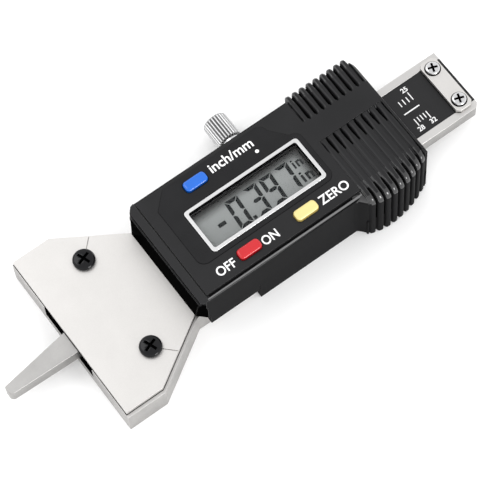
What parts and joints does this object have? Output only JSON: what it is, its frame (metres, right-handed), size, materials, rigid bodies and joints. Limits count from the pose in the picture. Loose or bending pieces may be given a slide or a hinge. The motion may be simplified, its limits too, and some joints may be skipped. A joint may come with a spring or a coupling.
{
  "type": "tyre tread depth gauge",
  "caption": "Digital tyre tread depth gauge with a sliding steel probe in a wide base, a screen with coloured push buttons, a ribbed grip and a knurled lock screw.",
  "frame": {"origin": "middle of the bottom edge of the base's front reference face, on the surface the gauge lies on", "axes": "+X from the reference face towards the scale end, +Z out of the display, +Y towards the lock screw"},
  "size_m": [0.1172, 0.0456, 0.0173],
  "materials": {
    "steel": "satin",
    "plate_steel": "bead-blasted satin",
    "black_screw": "black oxide",
    "bright_screw": "bright",
    "brass": "machined",
    "black_plastic": "moulded satin",
    "overlay_film": "fine matt film",
    "bezel": "bright plated",
    "window": "clear",
    "lcd": "liquid crystal glass",
    "white_plastic": "moulded",
    "conductive_rubber": "soft",
    "pcb": "solder mask",
    "black_resin": "epoxy",
    "blue": "moulded",
    "red": "moulded",
    "yellow": "moulded",
    "cell": "nickel plated",
    "contact": "plated spring",
    "scale_print": "printed film"
  },
  "bodies": {
    "gauge": {"base_block": "steel", "base_cover_plate": "plate_steel", "base_screws": "black_screw", "gib_strip": "brass", "front_housing": "black_plastic", "display_overlay": "overlay_film", "lcd_bezel": "bezel", "lcd_window": "window", "lcd_panel": "lcd", "lcd_holder": "white_plastic", "zebra_strips": "conductive_rubber", "circuit_board": "pcb", "controller_chip": "black_resin", "button_domes": "contact", "battery": "cell", "battery_holder": "black_plastic", "battery_contact_positive": "contact", "battery_contact_negative": "contact", "rear_cover": "black_plastic", "rear_screws": "black_screw"},
    "beam": {"slide_beam": "plate_steel", "scale_board": "pcb", "scale_label": "scale_print", "end_stop_plate": "plate_steel", "end_stop_screws": "bright_screw"},
    "lock_pad_carrier": {"lock_pad": "brass"},
    "lock_screw_body": {"lock_screw": "bright_screw"},
    "unit_key": {"unit_button": "blue"},
    "power_key": {"power_button": "red"},
    "zero_key": {"zero_button": "yellow"},
    "battery_lid": {"battery_cover": "black_plastic"}
  },
  "joints": [
    {"name": "depth_slide", "type": "slide", "parent": "gauge", "child": "beam", "axis": [-1, 0, 0], "range_m": [-0.0164, 0.009]},
    {"name": "lock_advance", "type": "slide", "parent": "gauge", "child": "lock_pad_carrier", "axis": [0, -1, 0], "range_m": [-0.001, 0.00016]},
    {"name": "lock_turn", "type": "hinge", "parent": "lock_pad_carrier", "child": "lock_screw_body", "pos_m": [0.0537, 0.018, 0.00445], "axis": [0, -1, 0], "range_deg": [-720, 120]},
    {"name": "unit_press", "type": "slide", "parent": "gauge", "child": "unit_key", "axis": [0, 0, -1], "range_m": [0, 0.0005], "stiffness_N_per_m": 1200, "springref_m": -0.0003},
    {"name": "power_press", "type": "slide", "parent": "gauge", "child": "power_key", "axis": [0, 0, -1], "range_m": [0, 0.0005], "stiffness_N_per_m": 1200, "springref_m": -0.0003},
    {"name": "zero_press", "type": "slide", "parent": "gauge", "child": "zero_key", "axis": [0, 0, -1], "range_m": [0, 0.0005], "stiffness_N_per_m": 1200, "springref_m": -0.0003},
    {"name": "battery_cover_slide", "type": "slide", "parent": "gauge", "child": "battery_lid", "axis": [0, -1, 0], "range_m": [0, 0.018]}
  ],
  "couplings": [
    {"joint": "lock_turn", "follows": "lock_advance", "rad_per_m": 12566}
  ]
}
